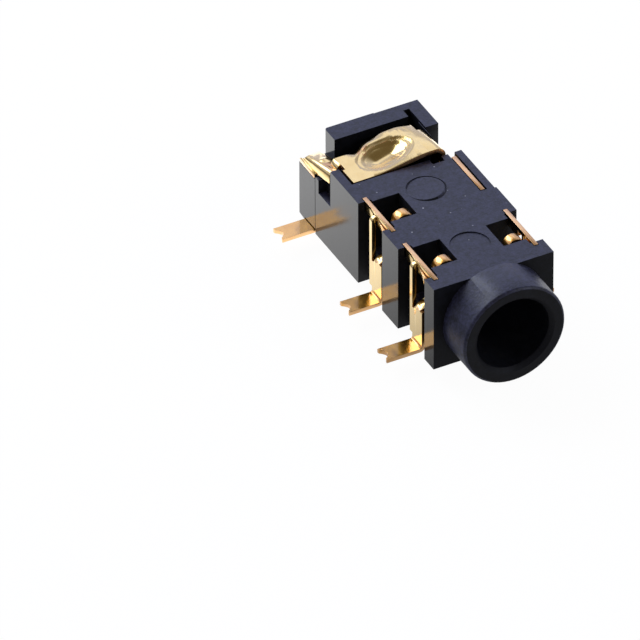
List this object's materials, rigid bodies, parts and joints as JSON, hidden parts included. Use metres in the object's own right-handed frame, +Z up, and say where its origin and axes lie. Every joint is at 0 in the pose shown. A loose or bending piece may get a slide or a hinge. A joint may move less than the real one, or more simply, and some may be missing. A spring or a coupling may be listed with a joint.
{
  "type": "audio jack socket",
  "caption": "Surface-mount audio jack socket with a round nose, side solder feet on flat leaf contacts, and locating pegs underneath.",
  "frame": {"origin": "on the housing's underside, which rests on the board, midway between the two locating pegs", "axes": "+Z up from the board; -Y out of the mouth towards the plug; +X to the right when looking into the mouth"},
  "size_m": [0.009, 0.0148, 0.0054],
  "materials": {
    "housing": "moulded black, fine matt",
    "rear_cover": "moulded black, fine matt",
    "contact_left_front": "gold plated, bright",
    "contact_left_middle": "gold plated, bright",
    "contact_right_front": "gold plated, bright",
    "contact_right_rear": "gold plated, bright",
    "contact_tip": "gold plated, bright"
  },
  "bodies": {
    "root": {"housing": "housing", "rear_cover": "rear_cover", "contact_left_front": "contact_left_front", "contact_left_middle": "contact_left_middle", "contact_right_front": "contact_right_front", "contact_right_rear": "contact_right_rear", "contact_tip": "contact_tip"}
  },
  "joints": []
}
